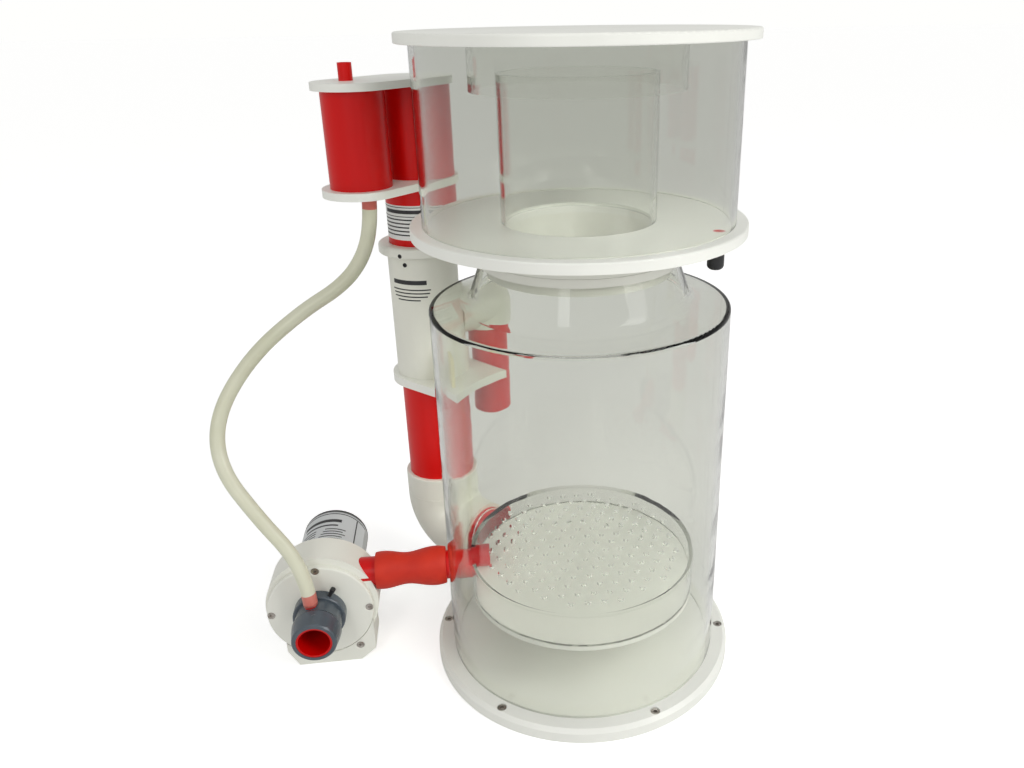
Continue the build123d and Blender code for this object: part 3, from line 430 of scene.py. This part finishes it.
def print_bars(name, axis, radius, bars, body):
    """Bars in place of lines of print; each is (place along the axis, thickness, first angle, last angle)."""
    for number, (place, thick, start, stop) in enumerate(bars):
        along = (place - thick / 2, place + thick / 2)
        wrap(f"{name}_{number}", axis, radius, along, (start, stop), ink, label_ink, body)


low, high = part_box("riser_pipe")
column_axis = ("z", (low.x + high.x) / 2, (low.y + high.y) / 2)
low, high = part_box("motor_can")
motor_axis = ("y", (low.x + high.x) / 2, (low.z + high.z) / 2)

sleeve_radius = 0.0390
sleeve_bars = [
    (0.4050, 0.0050, -146, -84),
    (0.3965, 0.0014, -148, -78),
    (0.3925, 0.0014, -146, -80),
    (0.3885, 0.0014, -145, -84),
    (0.3845, 0.0014, -138, -96),
]
print_bars("sleeve_print", column_axis, sleeve_radius, sleeve_bars, "telescope")

adjuster_radius = 0.0355
wrap(
    "adjuster_label", column_axis, adjuster_radius, (0.452, 0.490), (-175, -60), sticker,
    label_paper, "adjuster",
)
adjuster_bars = [(0.4880, 0.0008, -174, -61), (0.4780, 0.0008, -174, -61), (0.4832, 0.0040, -160, -72)]
adjuster_bars += [(0.4745 - 0.0042 * row, 0.0015, -168, -70 - 4 * (row % 3)) for row in range(5)]
print_bars("adjuster_print", column_axis, adjuster_radius + sticker, adjuster_bars, "adjuster")

motor_radius = 0.0390
wrap(
    "motor_foil", motor_axis, motor_radius, (0.045, 0.131), (18, 178), sticker,
    label_foil, "body", 48,
)
motor_bars = [(0.1285, 0.0016, 18, 178), (0.1130, 0.0060, 70, 140), (0.1030, 0.0028, 75, 135)]
for row in range(5):
    motor_bars.append((0.0950 - 0.0050 * row, 0.0016, 60 + 5 * (row % 2), 96 + 3 * row))
    motor_bars.append((0.0950 - 0.0050 * row, 0.0016, 112, 140 - 4 * (row % 3)))
print_bars("motor_print", motor_axis, motor_radius + sticker, motor_bars, "body")
wrap(
    "motor_print_edge", motor_axis, motor_radius + sticker, (0.045, 0.127), (40, 42.5), ink,
    label_ink, "body", 4,
)

# ------------------------------------------------------------------ floor, light


def big_plane(name, size, z):
    mesh = bpy.data.meshes.new(name)
    mesh.from_pydata([(-size, -size, z), (size, -size, z), (size, size, z), (-size, size, z)], [], [(0, 1, 2, 3)])
    plane = bpy.data.objects.new(name, mesh)
    scene.collection.objects.link(plane)
    return plane


floor_reach = 30.0
below_feet = -0.0002
floor = big_plane("floor", floor_reach, below_feet)
floor_material = new_material("floor_white", (0.86, 0.86, 0.86), 0.6)
vary_roughness(floor_material, noise(floor_material, 3.0), 0.55, 0.7)
floor_glow = node(floor_material, "ShaderNodeEmission", Color=(1.0, 1.0, 1.0, 1.0))
floor_path = node(floor_material, "ShaderNodeLightPath")
glow_share = node(floor_material, "ShaderNodeMath", operation="MULTIPLY")
floor_glow_level = 0.45
glow_share.inputs[1].default_value = floor_glow_level
floor_sum = node(floor_material, "ShaderNodeAddShader")
link(floor_material, floor_path.outputs["Is Camera Ray"], glow_share.inputs[0])
link(floor_material, glow_share.outputs["Value"], floor_glow.inputs["Strength"])
link(floor_material, principled(floor_material).outputs["BSDF"], floor_sum.inputs[0])
link(floor_material, floor_glow.outputs["Emission"], floor_sum.inputs[1])
link(floor_material, floor_sum.outputs["Shader"], surface(floor_material))
floor.data.materials.append(floor_material)

# A dim room whose backdrop is white to the eye, as in a cut-out studio picture.
world = bpy.data.worlds.new("studio")
scene.world = world
world.use_nodes = True
room = world.node_tree.nodes["Background"]
room_path = world.node_tree.nodes.new("ShaderNodeLightPath")
room_level = world.node_tree.nodes.new("ShaderNodeMapRange")
room_light, backdrop_light = 0.62, 1.0
room_level.inputs["To Min"].default_value = room_light
room_level.inputs["To Max"].default_value = backdrop_light
world.node_tree.links.new(room_path.outputs["Is Camera Ray"], room_level.inputs["Value"])
world.node_tree.links.new(room_level.outputs["Result"], room.inputs["Strength"])
room.inputs["Color"].default_value = (1.0, 1.0, 0.985, 1.0)


def softbox(name, place, target, size, power):
    data = bpy.data.lights.new(name, "AREA")
    data.shape = "RECTANGLE"
    data.size, data.size_y = size
    data.energy = power
    lamp = bpy.data.objects.new(name, data)
    scene.collection.objects.link(lamp)
    lamp.location = place
    lamp.rotation_euler = (Vector(target) - Vector(place)).to_track_quat("-Z", "Y").to_euler()


softbox("key", (1.6, -1.2, 1.6), (-0.05, 0.0, 0.35), (0.9, 1.6), 24.0)
softbox("front", (-0.9, -2.0, 1.5), (-0.1, 0.0, 0.3), (0.5, 1.2), 9.0)

scene.view_settings.view_transform = "Standard"
# Nested clear tubes put many surfaces in a ray's way.
clear_bounces = 28
scene.cycles.max_bounces = clear_bounces
scene.cycles.transmission_bounces = clear_bounces
scene.cycles.transparent_max_bounces = 32
